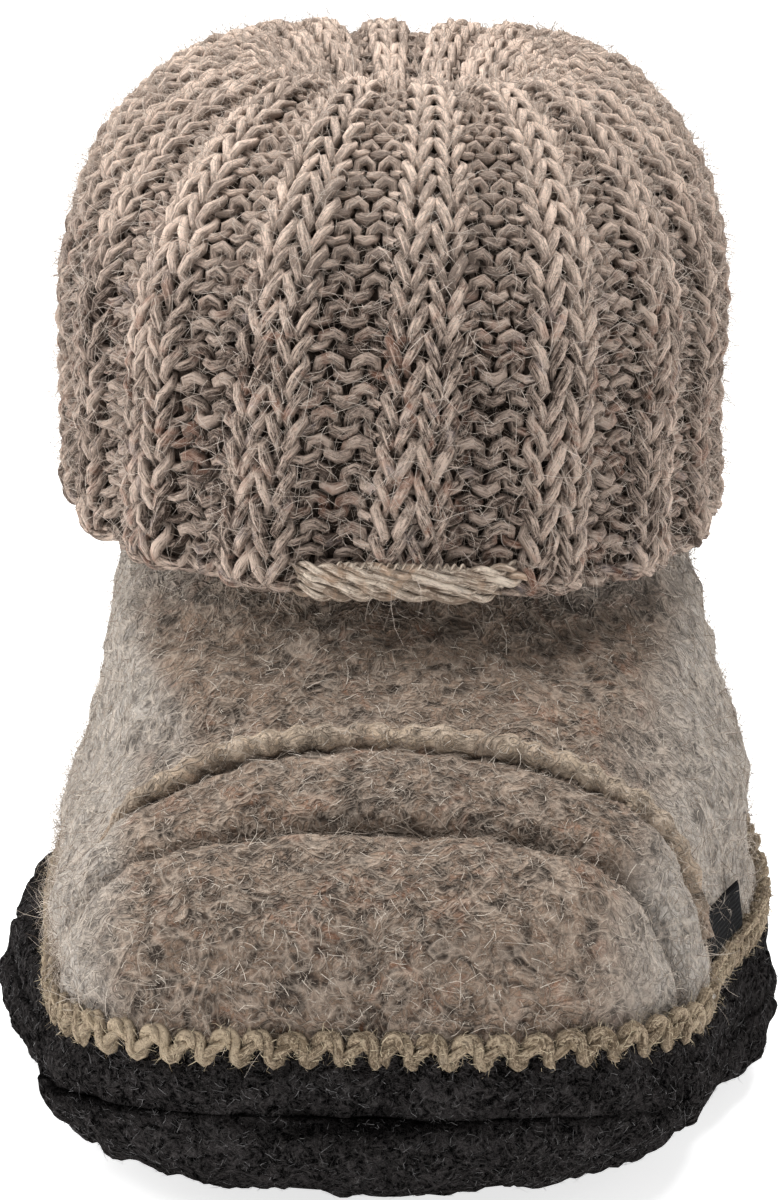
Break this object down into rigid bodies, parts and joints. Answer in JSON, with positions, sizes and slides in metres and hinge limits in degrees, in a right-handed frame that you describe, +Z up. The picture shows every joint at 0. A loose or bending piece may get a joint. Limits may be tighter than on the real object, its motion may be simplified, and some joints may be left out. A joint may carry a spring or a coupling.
{
  "type": "felted wool bootie slipper",
  "caption": "Left bootie slipper with a felted wool upper, a thick felt sole, whip-stitched edge and a rib-knit cuff folded down over the ankle.",
  "frame": {"origin": "on the floor under the middle of the slipper's outer box", "axes": "+Y from toe to heel along the foot, +X to the outer side of the left foot, +Z up"},
  "size_m": [0.0794, 0.17, 0.0986],
  "materials": {
    "sole_felt": "thick charcoal wool felt, matt and slightly hairy",
    "insole_felt": "soft grey-brown wool felt",
    "upper_felt": "boiled wool, taupe-brown melange with a hairy nap",
    "cream_yarn": "thick cream wool yarn",
    "tab_tape": "plain black woven tape",
    "knit_wool": "chunky two-by-two rib knit of tweedy wool yarn"
  },
  "bodies": {
    "root": {"outsole": "sole_felt", "rand": "sole_felt", "insole": "insole_felt", "upper": "upper_felt", "toe_seam": "upper_felt", "stitching": "cream_yarn", "side_tab": "tab_tape", "cuff": "knit_wool"}
  },
  "joints": []
}
